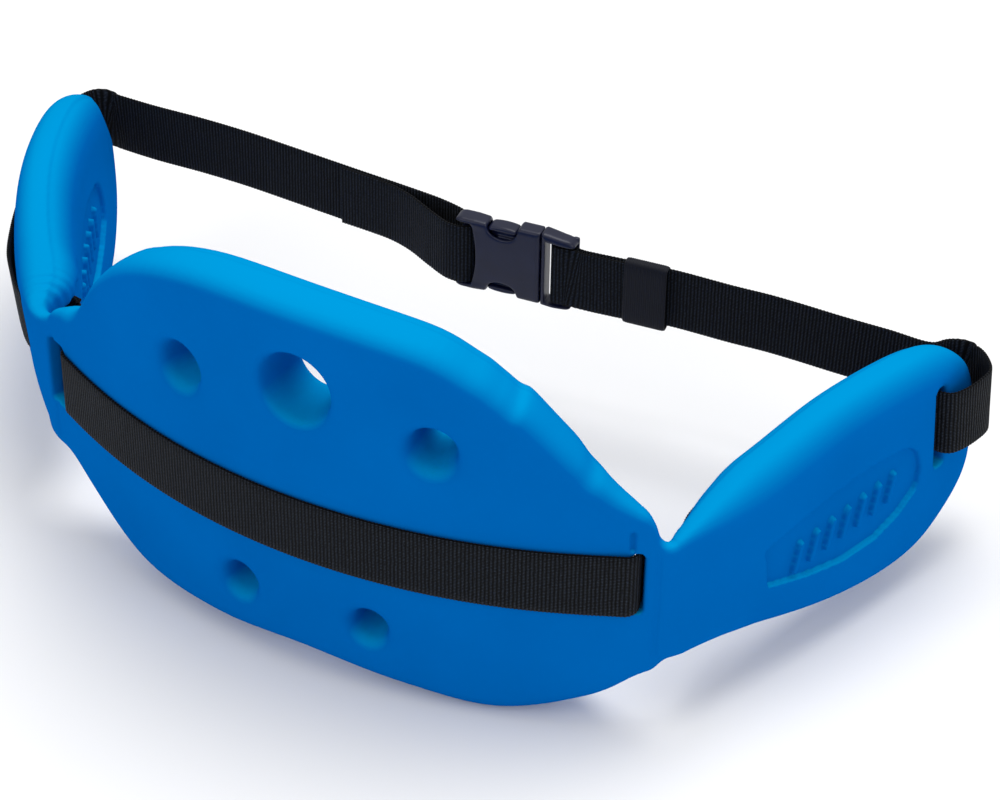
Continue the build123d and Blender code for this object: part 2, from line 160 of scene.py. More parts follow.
def foam_material():
    """Skin of moulded closed-cell foam: matt, finely pebbled, faintly cloudy, with a painted highlight that
    makes it paler where it faces up.
    """
    n = Nodes("blue_foam")
    place = n.add("ShaderNodeTexCoord").outputs["Object"]
    cloud = n.noise(place, 14, 3)
    body = n.ramp(cloud, (0.0, 0.118, 0.44), (0.0, 0.130, 0.475), 0.3, 0.7)
    # painted highlight: surfaces that face up are mixed towards a paler cyan, standing in for the light from
    # above
    normal = n.add("ShaderNodeNewGeometry").outputs["Normal"]
    facing = n.add("ShaderNodeSeparateXYZ", {"Vector": normal}).outputs["Z"]
    painted_top_light = n.add("ShaderNodeMapRange", {"Value": facing, "From Min": 0.3, "From Max": 0.95, "To Max": 0.8})
    mixed = {0: painted_top_light.outputs["Result"], 6: body, 7: (0.0, 0.31, 0.64, 1)}
    painted_top_highlight = n.add("ShaderNodeMix", mixed, data_type="RGBA")
    n.link(painted_top_highlight.outputs[2], "Base Color")
    pores = n.noise(place, 1900, 2)
    waves = n.noise(place, 55, 2)
    rough = n.add("ShaderNodeMapRange", {"Value": n.noise(place, 240, 3), "To Min": 0.42, "To Max": 0.56})
    n.link(rough.outputs["Result"], "Roughness")
    n.link(n.bump(pores, 0.12, 0.0002, n.bump(waves, 0.08, 0.002)), "Normal")
    n.set(IOR=1.45, Specular_IOR_Level=0.0)
    return n.material


def webbing_material():
    """Heavy woven webbing: ribs across the strap, crossed by fine warp yarns.

    The UV map is in metres, along and across.
    """
    n = Nodes("webbing")
    uv = n.add("ShaderNodeUVMap", uv_map="strap").outputs["UV"]
    split = n.add("ShaderNodeSeparateXYZ", {"Vector": uv})
    along, across = split.outputs["X"], split.outputs["Y"]
    wobble = n.math("MULTIPLY", n.noise(uv, 160, 2), 0.0006)
    along = n.math("ADD", along, wobble)
    rib = n.math("SINE", n.math("MULTIPLY", along, 2 * math.pi / (RIB_PITCH * MM)))
    warp = n.math("SINE", n.math("MULTIPLY", across, 2 * math.pi / (0.95 * MM)))
    flat_rib = n.math("MULTIPLY_ADD", rib, 0.5)
    flat_rib.node.inputs[2].default_value = 0.5
    flat_warp = n.math("MULTIPLY_ADD", warp, 0.5)
    flat_warp.node.inputs[2].default_value = 0.5
    # the weave's crests are painted lighter as a painted highlight on the yarns, broken up by speckle that
    # is the yarns' own uneven tone
    painted_crest_highlight = n.math("MULTIPLY", flat_rib, flat_warp)
    speckle = n.noise(uv, 900, 2)
    light = n.math("MULTIPLY", painted_crest_highlight, n.math("POWER", speckle, 1.6))
    n.link(n.ramp(light, (0.0004, 0.0006, 0.0012), (0.028, 0.037, 0.054), 0.04, 0.33), "Base Color")
    height = n.math("ADD", n.math("MULTIPLY", flat_rib, 0.7), n.math("MULTIPLY", flat_warp, 0.4))
    n.link(n.bump(height, 0.8, 0.0004), "Normal")
    n.set(Roughness=0.75, Sheen_Weight=0.04, Sheen_Roughness=0.4, Specular_IOR_Level=0.1)
    return n.material


def buckle_material(name, low, high, rough):
    """Moulded acetal, semi-gloss, with a faint spark-eroded texture."""
    n = Nodes(name)
    place = n.add("ShaderNodeTexCoord").outputs["Object"]
    n.link(n.ramp(n.noise(place, 60, 2), low, high, 0.35, 0.65), "Base Color")
    fine = n.noise(place, 2600, 2)
    n.link(n.bump(fine, 0.10, 0.0001), "Normal")
    grain = n.noise(place, 420, 2)
    grain = n.add("ShaderNodeMapRange", {"Value": grain, "To Min": rough, "To Max": rough + 0.1})
    n.link(grain.outputs["Result"], "Roughness")
    n.set(IOR=1.48, Specular_IOR_Level=0.42)
    return n.material


def elastic_material():
    """Knitted elastic: fine cords along the strap's width."""
    n = Nodes("elastic")
    uv = n.add("ShaderNodeUVMap", uv_map="strap").outputs["UV"]
    split = n.add("ShaderNodeSeparateXYZ", {"Vector": uv})
    cords = n.math("SINE", n.math("MULTIPLY", split.outputs["X"], 2 * math.pi / (0.8 * MM)))
    picks = n.math("SINE", n.math("MULTIPLY", split.outputs["Y"], 2 * math.pi / (0.5 * MM)))
    height = n.math("ADD", cords, n.math("MULTIPLY", picks, 0.4))
    n.link(n.ramp(height, (0.0015, 0.002, 0.0055), (0.007, 0.009, 0.018), 0.2, 0.9), "Base Color")
    n.link(n.bump(height, 0.35, 0.0001), "Normal")
    n.set(Roughness=0.62, Sheen_Weight=0.03, Specular_IOR_Level=0.2)
    return n.material


def floor_material():
    n = Nodes("floor")
    place = n.add("ShaderNodeTexCoord").outputs["Object"]
    n.link(n.ramp(n.noise(place, 3, 2), (0.92, 0.92, 0.92), (0.95, 0.95, 0.95)), "Base Color")
    n.set(Roughness=0.9, Specular_IOR_Level=0.1)
    return n.material


foam = foam_material()
webbing = webbing_material()
buckle_plastic = buckle_material("buckle_plastic", (0.0025, 0.0045, 0.022), (0.0045, 0.007, 0.030), 0.34)
elastic = elastic_material()
thread_material = buckle_material("thread", (0.008, 0.008, 0.012), (0.014, 0.014, 0.020), 0.6)


# ---------------------------------------------------------------- meshes

def link_mesh(name, vertices, faces, material, smooth=True):
    mesh = bpy.data.meshes.new(name)
    mesh.from_pydata([tuple(v) for v in vertices], [], [tuple(f) for f in faces])
    mesh.materials.append(material)
    mesh.polygons.foreach_set("use_smooth", [smooth] * len(mesh.polygons))
    mesh.update()
    piece = bpy.data.objects.new(name, mesh)
    scene.collection.objects.link(piece)
    return piece


def slab(value, low, high):
    """Distance outside a band of values, negative inside it."""
    return np.maximum(low - value, value - high)


def smooth_max(a, b, radius):
    """Larger of two fields, with their meeting edge rounded off."""
    share = np.clip(0.5 - 0.5 * (b - a) / radius, 0, 1)
    return b + (a - b) * share + radius * share * (1 - share)


def smooth_min(a, b, radius):
    return -smooth_max(-a, -b, radius)


def carve(field, hole, radius):
    """Field with a hole taken out; both are negative inside."""
    return smooth_max(field, -hole, radius)


def box_field(x, y, half_x, half_y, radius):
    """Distance to a rounded rectangle centred on the origin."""
    far_x = np.abs(x) - half_x + radius
    far_y = np.abs(y) - half_y + radius
    outside = np.hypot(np.maximum(far_x, 0), np.maximum(far_y, 0))
    return outside + np.minimum(np.maximum(far_x, far_y), 0) - radius


def polygon_field(x, y, corners):
    """Distance to a closed outline, negative inside."""
    corners = np.asarray(corners, float)
    best = np.full(x.shape, 1e9)
    inside = np.zeros(x.shape, bool)
    for (x0, y0), (x1, y1) in zip(corners, np.roll(corners, -1, axis=0)):
        dx, dy = x1 - x0, y1 - y0
        share = np.clip(((x - x0) * dx + (y - y0) * dy) / (dx * dx + dy * dy + 1e-12), 0, 1)
        best = np.minimum(best, np.hypot(x - x0 - share * dx, y - y0 - share * dy))
        if dy != 0:
            crossed = ((y0 > y) != (y1 > y)) & (x < dx * (y - y0) / dy + x0)
            inside ^= crossed
    return np.where(inside, -best, best)


def curve_through(points, steps=8):
    """Points on a smooth open curve through the given ones."""
    p = np.asarray(points, float)
    p = np.vstack([2 * p[0] - p[1], p, 2 * p[-1] - p[-2]])
    out = []
    for a, b, c, d in zip(p, p[1:], p[2:], p[3:]):
        for t in np.arange(steps) / steps:
            square = (2 * a - 5 * b + 4 * c - d) * t**2
            cube = (3 * b - a - 3 * c + d) * t**3
            out.append(0.5 * (2 * b + (c - a) * t + square + cube))
    out.append(p[-2])
    return np.array(out)


def mesh_field(field, low, voxel):
    """Vertices and quads of a field's zero surface. The field reaches 2 voxels past the solid."""
    grid = openvdb.FloatGrid(3 * voxel)
    grid.copyFromArray(np.ascontiguousarray(np.clip(field, -3 * voxel, 3 * voxel), dtype=np.float32))
    grid.transform = openvdb.createLinearTransform(voxelSize=voxel)
    points, quads = grid.convertToQuads(0.0)
    return points + np.asarray(low), quads[:, ::-1]


def grid_axes(low, high, voxel):
    axes = [np.arange(a, b + voxel, voxel) for a, b in zip(low, high)]
    return np.meshgrid(*axes, indexing="ij")


# ---------------------------------------------------------------- skin of the moulding

THICKNESS = 34.0
FACE_RADIUS = 348.0
FRONT_DEPTH = 150.0
WING_LENGTH = 240.0
PANEL_END = {"left": 188.0, "right": 181.0}
FOLDS = {
    # side: sign, fold line in plan, angle from the X axis, bow, lean outwards at the top
    "left": (-1, (-188.0, -96.0), 59.0, 18.6, 4.9),
    "right": (1, (183.0, -98.5), 71.2, 5.2, -4.4),
}
SKIN_STEP = 0.5
LEFT_BULGE = 5.0                    # how far the left wing's root half stands out past its plain arc


def on_face(distance, depth=0.0):
    """Plan point at a distance along the centre panel's outer face, at a depth into the foam."""
    angle = distance / FACE_RADIUS
    radius = FACE_RADIUS - depth
    return np.array((radius * math.sin(angle), FACE_RADIUS - FRONT_DEPTH - radius * math.cos(angle)))


def wing_axes(side):
    """Unit vectors of a wing: along it, outwards and up."""
    sign, _, turn, _, lean = FOLDS[side]
    turn, tilt = math.radians(turn), math.radians(lean)
    along = np.array((sign * math.cos(turn), math.sin(turn), 0))
    flat_out = np.array((sign * math.sin(turn), -math.cos(turn), 0))
    vertical = np.array((0, 0, 1.0))
    up = vertical * math.cos(tilt) + flat_out * math.sin(tilt)
    outwards = flat_out * math.cos(tilt) - vertical * math.sin(tilt)
    return along, outwards, up


def skin(side, distance):
    share = distance / WING_LENGTH
    return 4 * FOLDS[side][3] * share * (1 - share)


def fold_gap(side):
    """Length of skin from the panel's end to the fold line."""
    sign, fold = FOLDS[side][:2]
    return float(np.linalg.norm(np.array(fold) - on_face(sign * PANEL_END[side])))


def on_wing(side, distance, outwards):
    """Plan point of a place on a wing, at the height of the strap."""
    sign, fold = FOLDS[side][:2]
    along = wing_axes(side)[0]
    flat_out = np.array((along[1], -along[0])) * sign
    return np.array(fold) + along[:2] * distance + flat_out * outwards


def in_wing(side, distance, outwards, height):
    """Place on a wing, in the wing's own leaned frame."""
    along, out, up = wing_axes(side)
    return np.array((*FOLDS[side][1], 0)) + along * distance + out * outwards + up * height


WING_START = {side: PANEL_END[side] + fold_gap(side) for side in FOLDS}      # fold line, along the skin


def left_bulge(distance):
    """Extra stand-out of the left wing's skin, by the distance from its fold line."""
    onset = np.clip((np.asarray(distance, float) + 30) / 40, 0, 1)
    return LEFT_BULGE * np.exp(-(((distance - 40) / 85) ** 2)) * onset * onset * (3 - 2 * onset)


def skin_rows():
    """Origin, outward and upward vectors along the whole outer skin, from one nose to the other."""
    reach = WING_LENGTH + 12
    places = np.arange(-WING_START["left"] - reach, WING_START["right"] + reach, SKIN_STEP)
    rows = []
    for place in places:
        side = "left" if place < 0 else "right"
        sign, fold, _, bow, _ = FOLDS[side]
        distance = abs(place)
        if distance <= PANEL_END[side]:
            angle = place / FACE_RADIUS
            rows.append((*on_face(place), 0, math.sin(angle), -math.cos(angle), 0, 0, 0, 1))
        elif distance <= WING_START[side]:
            share = (distance - PANEL_END[side]) / fold_gap(side)
            end = on_face(sign * PANEL_END[side])
            point = end + (np.array(fold) - end) * share
            flat = np.array((point[1] - end[1], end[0] - point[0])) * sign
            flat = flat / max(np.linalg.norm(flat), 1e-9)
            rows.append((*point, 0, *flat, 0, 0, 0, 1))
        else:
            along, out, up = wing_axes(side)
            d = distance - WING_START[side]
            slope = 4 * bow / WING_LENGTH * (1 - 2 * d / WING_LENGTH)
            normal = out - along * slope
            rows.append((*in_wing(side, d, skin(side, d), 0), *(normal / np.linalg.norm(normal)), *up))
    rows = np.array(rows)
    rows[:, 3:6] = np.where(np.isfinite(rows[:, 3:6]), rows[:, 3:6], 0)
    kernel = np.hanning(41)
    kernel /= kernel.sum()
    padded = np.vstack([
        2 * rows[0] - rows[20:0:-1], rows, 2 * rows[-1] - rows[-2:-22:-1],
    ])
    rows = np.stack([np.convolve(column, kernel, "valid") for column in padded.T], axis=1)
    rows[:, 3:6] /= np.linalg.norm(rows[:, 3:6], axis=1)[:, None]
    rows[:, :3] += rows[:, 3:6] * left_bulge(-WING_START["left"] - places)[:, None]
    return places, rows


SKIN_PLACES, SKIN_ROWS = skin_rows()


def bend(points):
    """From the moulding laid flat (along the skin, height, depth) to the belt's own frame."""
    values = np.stack([np.interp(points[:, 0], SKIN_PLACES, column) for column in SKIN_ROWS.T], axis=1)
    return values[:, :3] - values[:, 3:6] * points[:, 2:3] + values[:, 6:9] * points[:, 1:2]


# ---------------------------------------------------------------- the foam moulding, laid flat

RIGHT_FOLD = WING_START["right"]
LEFT_FOLD = -WING_START["left"]

WING_TOP = [(34, 32), (72, 39), (120, 47.4), (163, 47.2), (197, 41.8), (222, 27.5)]
WING_NOSE = (WING_LENGTH, 3)
WING_BOTTOM = {
    "left": [(226, -38), (197, -65), (163, -76), (120, -74), (72, -63), (30, -50)],
    "right": [
        (243.5, -34), (233, -51.5), (208, -66), (182, -76), (150, -77.5), (110, -72), (66, -61), (30, -50),
    ],
}
RIGHT_DROP = 3.2                    # how much lower the right wing's outline sits


def moulding_outline():
    """The whole moulding's outline laid flat: distance along the skin, and height."""
    right_top = [(RIGHT_FOLD + d, z - RIGHT_DROP) for d, z in WING_TOP]
    right_bottom = [(RIGHT_FOLD + d, z - RIGHT_DROP) for d, z in WING_BOTTOM["right"]]
    left_top = [(LEFT_FOLD - d, z) for d, z in WING_TOP[::-1]]
    left_bottom = [(LEFT_FOLD - d, z) for d, z in WING_BOTTOM["left"][::-1]]
    top = left_top + [(-212, 31), (-204, 30), (-198, 29.5), (-192, 32), (-187.5, 37.5), (-180, 42)]
    top += [(-166.3, 50), (-141.9, 84), (-110, 111), (-62.3, 127.6), (0, 131), (62.3, 125.8), (92, 113.8)]
    top += [(105, 105), (112, 99.5), (119, 96.3), (133, 81.6), (144, 69.5), (150, 62), (156, 57.5)]
    top += [(164, 50.5), (173, 43.8), (178.6, 39.2), (182.2, 32.5), (184.6, 25.2), (188.5, 22.3)]
    top += [(194, 22.3), (200, 24)] + right_top
    bottom = right_bottom + [(203, -48), (194, -48), (189, -51), (184, -57.5), (176, -62.5)]
    bottom += [(152.5, -79.5), (106.6, -92.8), (55.2, -89), (0, -84)]
    bottom += [(-55.2, -87.5), (-110, -84.6), (-157.3, -64.2)]
    bottom += [(-180, -52.5), (-188, -50.5), (-194, -48.5), (-199, -47), (-206, -46)] + left_bottom
    right_nose = (RIGHT_FOLD + WING_NOSE[0], WING_NOSE[1] - RIGHT_DROP)
    left_nose = (LEFT_FOLD - WING_NOSE[0], WING_NOSE[1])
    loop = top + [right_nose] + bottom + [left_nose]
    closed = [loop[-2], loop[-1]] + loop + [loop[0], loop[1]]
    return curve_through(closed, 6)[12:-13]


def between(place, painted_crest_highlight):
    """Value along the skin, from (place, value) knots with soft corners."""
    x, y = np.array(painted_crest_highlight).T
    value = sum(np.interp(place + shift, x, y) for shift in (-6, -3, 0, 3, 6)) / 5
    return value


def half_thickness(s):
    """Half the moulding's thickness along the skin, before its edges are rounded off."""
    full = THICKNESS / 2
    right_wing = [(0, 4.6), (7, 5.0), (34, 12.4), (60, full), (500, full)]
    left_wing = [(0, 4.6), (7, 5.2), (15, 9.5), (26, 14.5), (42, full), (500, full)]
    right = [(RIGHT_FOLD + d, h) for d, h in right_wing]
    left = [(LEFT_FOLD - d, h) for d, h in left_wing[::-1]]
    half = between(s, left + [(-188, 4.8), (-152, full), (145, full), (181, 4.8)] + right)
    for sign, fold in ((1, RIGHT_FOLD), (-1, LEFT_FOLD)):
        share = np.clip((sign * (s - fold) / WING_LENGTH - 0.55) / 0.45, 0, 0.97)
        half = half * np.sqrt(1 - share**4)
    return half


def middle_depth(s):
    """Depth of the moulding's middle below the outer skin: the skin is flush but for the noses."""
    full = THICKNESS / 2
    past_taper = (s > RIGHT_FOLD + 66) | (s < LEFT_FOLD - 66)
    return np.where(past_taper, full, half_thickness(s))


HOLES = [
    # along the skin, height, radius, softness of the rim
    (0.0, 84.0, 20.0, 5.0),
    (-72.0, 67.5, 13.0, 8.0),
    (72.0, 67.5, 13.0, 8.0),
    (-38.0, -53.0, 10.2, 8.0),
    (38.0, -53.0, 10.2, 8.0),
]
PANEL_SLOTS = [
    # along the skin, half width, half height, softness of the rim
    (-183.2, 7.6, 20.2, 1.6),
    (173.9, 3.5, 19.0, 0.6),
]
CREASES = [
    # along the skin, height, half width, half height, how deep
    (171.0, 26.5, 1.0, 6.0, 1.8),
    (184.0, -16.0, 0.9, 38.0, 0.9),
    (-186.5, -12.0, 0.9, 36.0, 0.8),
]
WRINKLE = 0.8                       # height of the squeezed wrinkles at the left wing's root
HOLE_TAPER = 0.11                   # the holes narrow towards the back, as moulded
TIP_SLOT = (194.0, -3.0, 4.5, 24.0)            # from the fold, height, half width, half height
ROOT_SLOT = (35.0, -2.5, 4.5, 20.0)
RECESS_DEPTH = 3.2


def moulding():
    """The whole foam moulding as one flat field, meshed: vertices and quads."""
    voxel = 1.4
    low = (LEFT_FOLD - WING_LENGTH - 5, -99.0, -4.0)
    high = (RIGHT_FOLD + WING_LENGTH + 5, 140.0, 38.0)
    s, z, depth = grid_axes(low, high, voxel)
    flat_s, flat_z = s[:, :, 0], z[:, :, 0]
    outline = polygon_field(flat_s, flat_z, moulding_outline())
    half = half_thickness(flat_s)
    middle = middle_depth(flat_s)
    wing_share = np.clip((np.maximum(flat_s - RIGHT_FOLD, LEFT_FOLD - flat_s) - 10) / 50, 0, 1)
    web_share = np.clip(1 - np.minimum(np.abs(flat_s - RIGHT_FOLD), np.abs(flat_s - LEFT_FOLD)) / 34, 0, 1)
    width = 13 + 14 * wing_share - 6 * web_share
    power = 2.6 - 0.25 * wing_share

    def stack(values):
        return np.repeat(values[:, :, None], s.shape[2], axis=2)

    ledge = 0.9 * np.clip((depth - stack(middle) - 4) / 1.6, 0, 1)        # parting line round the edge
    side = np.maximum((stack(outline + width) + ledge) / stack(width), 0)
    level = np.abs(depth - stack(middle)) / stack(half)
    p = stack(power)
    shape = (side**p + level**p + 1e-9) ** (1 / p) - 1
    steps = np.gradient(shape, voxel)
    field = shape / np.maximum(np.sqrt(sum(step**2 for step in steps)), 0.02)
    field = np.clip(field, -12, 12)

    for place, height, radius, rim in HOLES:
        hole = np.hypot(s - place, z - height) - radius + HOLE_TAPER * depth
        field = carve(field, hole, rim)
    for place, half_width, half_height, rim in PANEL_SLOTS:
        field = carve(field, box_field(s - place, z, half_width, half_height, 3.0), rim)
    for place, height, half_width, half_height, deep in CREASES:
        groove = box_field(s - place, z - height, half_width, half_height, half_width)
        field = carve(field, np.maximum(groove, depth - deep), 1.6)
    for distance, roof in ((s - RIGHT_FOLD, 20.5), (LEFT_FOLD - s, 15.0)):
        channel = np.maximum(slab(z, -29, roof), np.maximum(-8 - distance, distance - 64))
        plain_taper = 9.0 + 25.0 * np.clip((distance - 7) / 53, 0, 1)
        field = carve(field, np.maximum(channel, plain_taper - depth), 3.0)
    wrinkled = np.clip(1 - np.abs(LEFT_FOLD - s - 23) / 14, 0, 1) * np.clip((z - 14) / 10, 0, 1)
    wrinkled = wrinkled * np.clip(1 - np.abs(depth - 17) / 14, 0, 1)
    field = field + WRINKLE * np.sqrt(wrinkled) * np.sin(2 * math.pi * (LEFT_FOLD - s + 0.25 * depth) / 7.5)
    for distance, (place, height, half_width, half_height) in (
        (s - RIGHT_FOLD, TIP_SLOT), (LEFT_FOLD - s, ROOT_SLOT),
    ):
        field = carve(field, box_field(distance - place, z - height, half_width, half_height, 3.0), 2.4)
    inset = np.clip((outline + width) / width, 0, 0.999)
    skin_depth = stack(half * (1 - inset**power) ** (1 / power))
    outer = depth - (stack(middle) - skin_depth)          # below the outer skin
    inner = (stack(middle) + skin_depth) - depth          # below the inner skin
    field = carve(field, recess_field(s - RIGHT_FOLD, z + RIGHT_DROP, outer), 1.0)
    field = carve(field, recess_field(LEFT_FOLD - s, z, inner), 1.0)
    return mesh_field(field, low, voxel)


def recess_field(d, z, below_skin):
    """Shallow sunk panel on a wing's face, with a row of short slanted grip ribs left standing in it."""
    outline = [(60, -7), (84, -1), (110, 4), (138, 6), (158, 4)]
    outline += [(158 + 19 * math.sin(a), -16 + 20 * math.cos(a)) for a in np.linspace(0.25, 2.2, 9)]
    outline += [(160, -36), (142, -41.5), (118, -42.5), (90, -37.5), (62, -30)]
    flat_d, flat_z = d[:, :, 0], z[:, :, 0]
    shape = polygon_field(flat_d, flat_z, outline)
    middle = -20 + 0.10 * (flat_d - 120)
    for place in np.linspace(84, 154, 7):
        slant = flat_d - place - 0.35 * (flat_z - middle)
        rib = box_field(slant, flat_z - middle, 1.9, 8.5, 1.9)
        shape = np.maximum(shape, -rib)
    shape = np.repeat(shape[:, :, None], d.shape[2], axis=2)
    return np.maximum(shape, below_skin - RECESS_DEPTH)


def foam_piece(name, flat_points, quads, start, end):
    """The part of the moulding between two places along the skin, closed at its cuts and bent to shape."""
    centres = flat_points[quads][:, :, 0]
    keep = (centres.max(axis=1) > start) & (centres.min(axis=1) < end)
    used, faces = np.unique(quads[keep], return_inverse=True)
    faces = faces.reshape(-1, 4)
    piece = link_mesh(name, flat_points[used], faces, foam)
    bm = bmesh.new()
    bm.from_mesh(piece.data)
    for place, direction in ((start, -1), (end, 1)):
        everything = bm.verts[:] + bm.edges[:] + bm.faces[:]
        bmesh.ops.bisect_plane(
            bm, geom=everything, plane_co=(place, 0, 0), plane_no=(direction, 0, 0), clear_outer=True
        )
    rim = [edge for edge in bm.edges if edge.is_boundary]
    if rim:
        caps = bmesh.ops.holes_fill(bm, edges=rim, sides=0)["faces"]
        for edge in rim:
            edge.smooth = False
        for cap in caps:
            cap.smooth = False
    bmesh.ops.recalc_face_normals(bm, faces=bm.faces[:])
    bm.to_mesh(piece.data)
    bm.free()
    flat = np.array([v.co for v in piece.data.vertices])
    piece.data.vertices.foreach_set("co", (bend(flat) * MM).ravel())
    piece.data.update()
    return piece


def add_foam():
    points, quads = moulding()
    inward, outward, beyond = 24, 16, 1000          # how far the webs reach past the fold lines
    limits = {
        "foam_centre_panel": (LEFT_FOLD + inward, RIGHT_FOLD - inward),
        "foam_left_fold": (LEFT_FOLD - outward, LEFT_FOLD + inward),
        "foam_right_fold": (RIGHT_FOLD - inward, RIGHT_FOLD + outward),
        "foam_left_wing": (-beyond, LEFT_FOLD - outward),
        "foam_right_wing": (RIGHT_FOLD + outward, beyond),
    }
    made = {name: foam_piece(name, points, quads, *ends) for name, ends in limits.items()}
    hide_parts("centre_panel")
    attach(made["foam_centre_panel"], "centre")
    for side, fold in (("left", LEFT_FOLD), ("right", RIGHT_FOLD)):
        wing = made[f"foam_{side}_wing"]
        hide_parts(f"{side}_wing")
        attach(wing, f"{side}_wing")
        web = made[f"foam_{side}_fold"]
        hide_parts(f"{side}_fold_web")
        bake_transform(web)


add_foam()


# ---------------------------------------------------------------- webbing

STRAP_HALF = 19.0
STRAP_THICK = 1.8
LIFT = 1.25                         # webbing's middle, off the foam
ROW_STEP = 0.4
BUCKLE_CENTRE = np.array((-12.5, 106.0, 0.0))
BUCKLE_TURN = math.radians(6.5)
BUCKLE_ALONG = np.array((math.cos(BUCKLE_TURN), math.sin(BUCKLE_TURN), 0))
BUCKLE_OUT = np.array((math.sin(BUCKLE_TURN), -math.cos(BUCKLE_TURN), 0))       # towards the wearer
UP = np.array((0, 0, 1.0))


def upright(x, y, z=0.0):
    """A place on the strap in plan, with the strap standing upright there."""
    return (x, y, z, *UP)


def near_face(distance, depth):
    return upright(*on_face(distance, depth))


def near_wing(side, distance, outwards, z=0.0):
    return upright(*on_wing(side, distance, outwards), z)


def leaned(side, distance, outwards, z=0.0):
    """A place on the strap in a wing's own leaned frame."""
    return (*in_wing(side, distance, outwards, z), *wing_axes(side)[2])


def at_buckle(x, y, z=0.0):
    return (*(BUCKLE_CENTRE + BUCKLE_ALONG * x - BUCKLE_OUT * y + UP * z), *UP)


def strap_stretches():
    """The strap in order, from its sewn end to its loose tail: name, then control points."""
    sewn = [(-132, 115.9), (-114, 115.5), (-98, 114.3), (-84, 110.4), (-67, 102.6), (-52, 96.8), (-43, 97.6)]
    sewn += [(-38.4, 102.8), (-41.6, 108.4), (-52, 112.6), (-67, 115.5), (-91, 117)]
    left_back = [(-120, 118.1, 0), (-145, 118.9, 0.2), (-170, 119.6, 0.5)]
    left_back += [(-200, 120.2, 0.8), (-230, 120.1, 0.4), (-262, 119.9, -1.0)]
    left_nose = [(241.3, -17.5), (240.6, -10), (230, 0.2), (214, 7.0), (202, 10.9)]
    left_face = [(190, 1.45), (162, 1.45), (134, 1.45), (104, 2.6)]
    left_face += [(76, 3.4), (56, 1.8), (43, 0.4), (37.4, -1.6)]
    left_crossing = [(34.8, -8, -3.5), (33.2, -13.4, -4.8), (28.4, -15.6, -6.2)]
    left_crossing += [(17, -12.8, -7), (3, -11.2, -6)]
    left_dive = [(2.4, 7.6), (3.4, 2.8), (4.8, -0.4), (7.6, -1.6), (11, -1.5)]
    right_dive = [(-7.6, -1.55), (-3.6, -1.75), (-0.4, -0.4), (2.0, 2.6), (3.1, 7.4)]
    right_inner = [(58.6, 1.85), (90, 1.25), (130, 1.35), (163, 1.45), (176, 1.65), (184, 1.75)]
    right_tip = [(190.4, -32.2), (192.8, -28), (193.6, -18), (193.8, -8), (194.6, 1.4)]
    right_tip += [(197.4, 5.9), (204, 7.9), (216, 8), (229, 4.6), (237.5, -4.5), (242, -14), (241.9, -21)]
    right_back = [(150, 122.2, -0.4), (132, 121.3, -0.2), (112, 119.6, -0.4)]
    towards = [(92, 1.35, -0.6), (76, 1.35, -0.9), (60, 1.35, -1.2)]
    towards += [(47, 1.35, -1.6), (36, 1.35, -1.6), (30, 2.0, -0.75)]
    ladder = [(25.2, 2.9), (21.2, 2.3), (19.9, 0), (21.2, -2.3), (25.2, -2.9), (30, -2.0)]
    away = [(36, -1.35, -1.7), (47, -1.35, -1.7), (60, -1.35, -1.3), (72, -1.35, -1.0), (83, -1.35, -0.8)]
    left_slot, right_slot = -181.0, 172.5           # where the strap goes through the panel
    return [
        ("webbing_sewn_end", [upright(x, y) for x, y in sewn]),
        ("webbing_left_back", [upright(*p) for p in left_back] + [
            near_wing("left", 235.2, -28.2, -1.4), near_wing("left", 239.3, -22.6, -1.8)]),
        ("webbing_left_wing", [leaned("left", d, w, -1.8) for d, w in left_nose] + [
            leaned("left", d, skin("left", d) + gap + left_bulge(d)) for d, gap in left_face] + [
            leaned("left", 34.8, -2)]),
        ("webbing_left_crossing", [near_wing("left", *p) for p in left_crossing] + [
            upright(*on_face(left_slot - 1.2, 10.9), -2)]),
        ("webbing_front", [near_face(left_slot + step, depth) for step, depth in left_dive] + [
            near_face(25 * step, -LIFT) for step in range(-6, 7)] + [
            near_face(right_slot + step, depth) for step, depth in right_dive]),
        ("webbing_right_crossing", [near_face(right_slot + 4.6, 10.9)] + [
            near_wing("right", *p) for p in ((3, -11.2, -3), (16, -15.4, -7.5), (36, -25.9, -9.5))]),
        ("webbing_right_wing", [
            leaned("right", d, skin("right", d) - THICKNESS - gap, -0.088 * max(162 - d, 0))
            for d, gap in right_inner] + [
            leaned("right", d, w, -1.8 * max(d - 216, 0) / 26) for d, w in right_tip]),
        ("webbing_right_back_end", [
            near_wing("right", d, w, -2.4) for d, w in ((240.4, -24.2), (234.6, -30.2), (226.6, -33.6))] + [
            upright(200, 125.3, -1.8), upright(174, 123.2, -1.0)]),
        ("webbing_right_back", [upright(*p) for p in right_back]),
        ("webbing_tail", [at_buckle(*p) for p in towards] + [
            at_buckle(x, y, -0.75) for x, y in ladder] + [at_buckle(*p) for p in away]),
    ]


def blur(rows, sigma):
    """Rows smoothed along the strap, with the ends held."""
    reach = int(3 * sigma)
    kernel = np.exp(-0.5 * (np.arange(-reach, reach + 1) / sigma) ** 2)
    kernel /= kernel.sum()
    padded = np.vstack([2 * rows[0] - rows[reach:0:-1], rows, 2 * rows[-1] - rows[-2:-reach - 2:-1]])
    return np.stack([np.convolve(column, kernel, "valid") for column in padded.T], axis=1)


